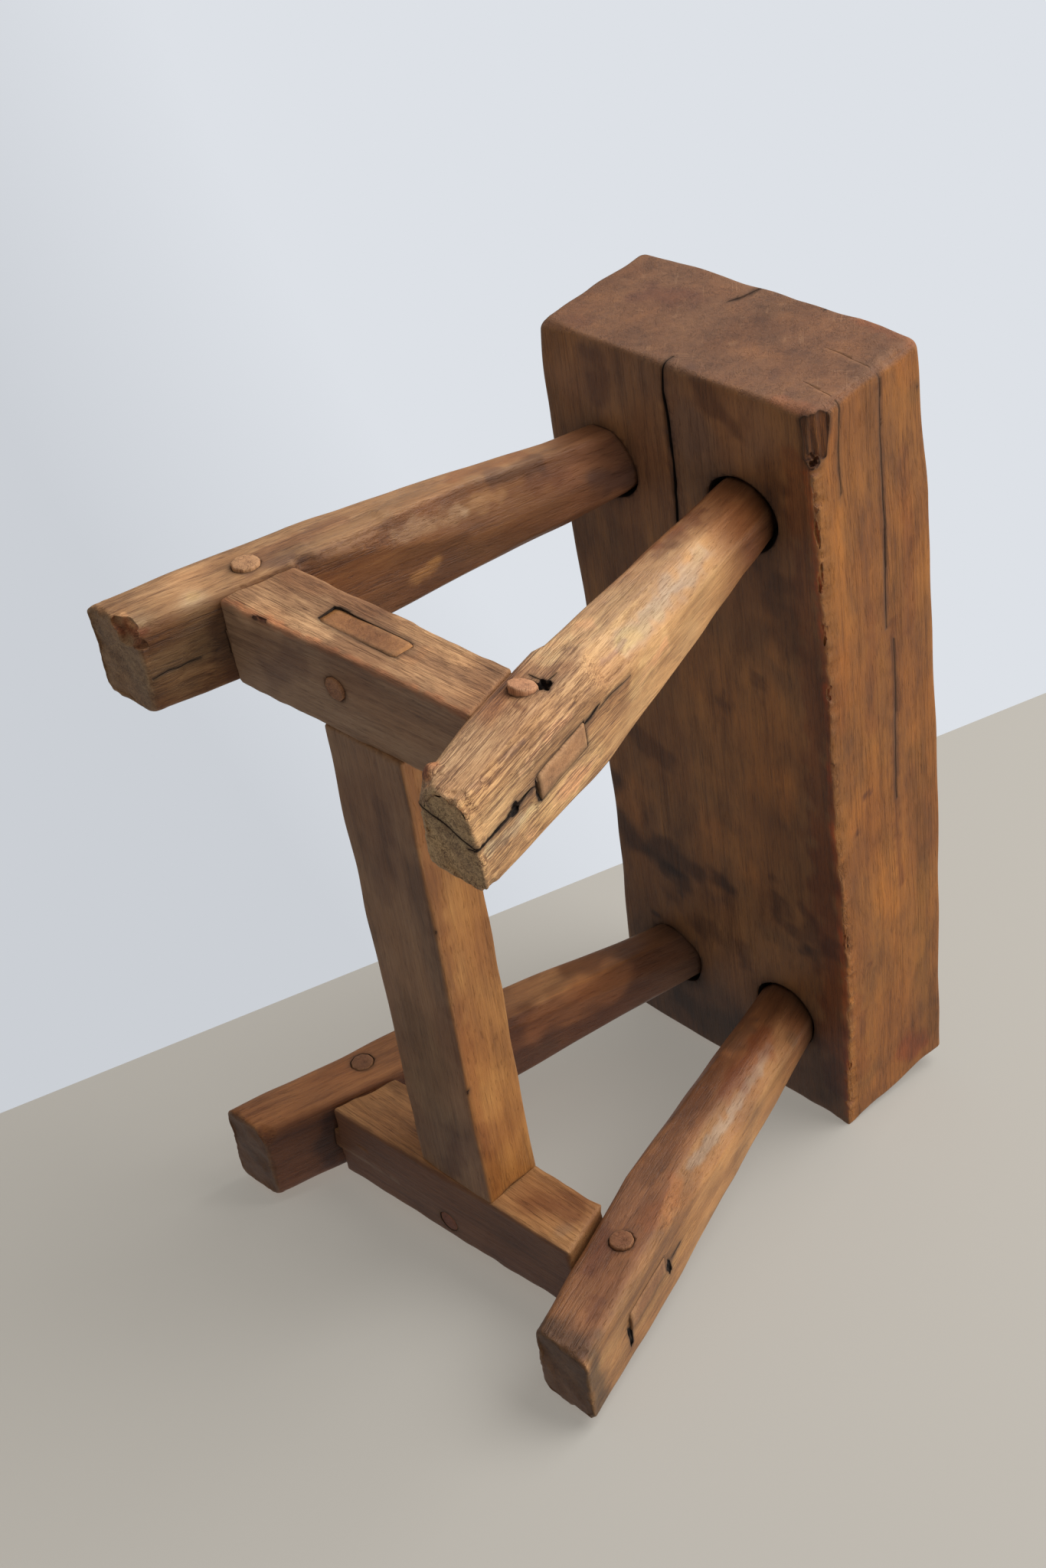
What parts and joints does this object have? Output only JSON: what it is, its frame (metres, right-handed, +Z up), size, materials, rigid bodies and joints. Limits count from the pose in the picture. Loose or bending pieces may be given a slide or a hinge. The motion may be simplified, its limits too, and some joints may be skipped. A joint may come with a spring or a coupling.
{
  "type": "rustic beam stool",
  "caption": "Low rustic stool: a thick beam seat on splayed legs that taper from square to round, joined by an H of rails with pegged through tenons.",
  "frame": {"origin": "on the floor under the middle of the stool, midway between the feet", "axes": "+X along the seat, +Y across it towards the side the beam bows to, +Z up from the feet to the seat's top"},
  "size_m": [0.52, 0.3098, 0.38],
  "materials": {
    "seat_wood": "worn and waxed, satin",
    "leg_wood": "worn and waxed, satin",
    "rail_wood": "worn, dry, satin",
    "peg_wood": "worn end grain"
  },
  "bodies": {
    "root": {"back_left_leg": "leg_wood", "back_left_leg_peg": "peg_wood", "back_rail": "rail_wood", "back_right_leg": "leg_wood", "back_right_leg_peg": "peg_wood", "back_stretcher_peg": "peg_wood", "front_left_leg": "leg_wood", "front_left_leg_peg": "peg_wood", "front_rail": "rail_wood", "front_right_leg": "leg_wood", "front_right_leg_peg": "peg_wood", "front_stretcher_peg": "peg_wood", "seat": "seat_wood", "stretcher": "rail_wood"}
  },
  "joints": []
}
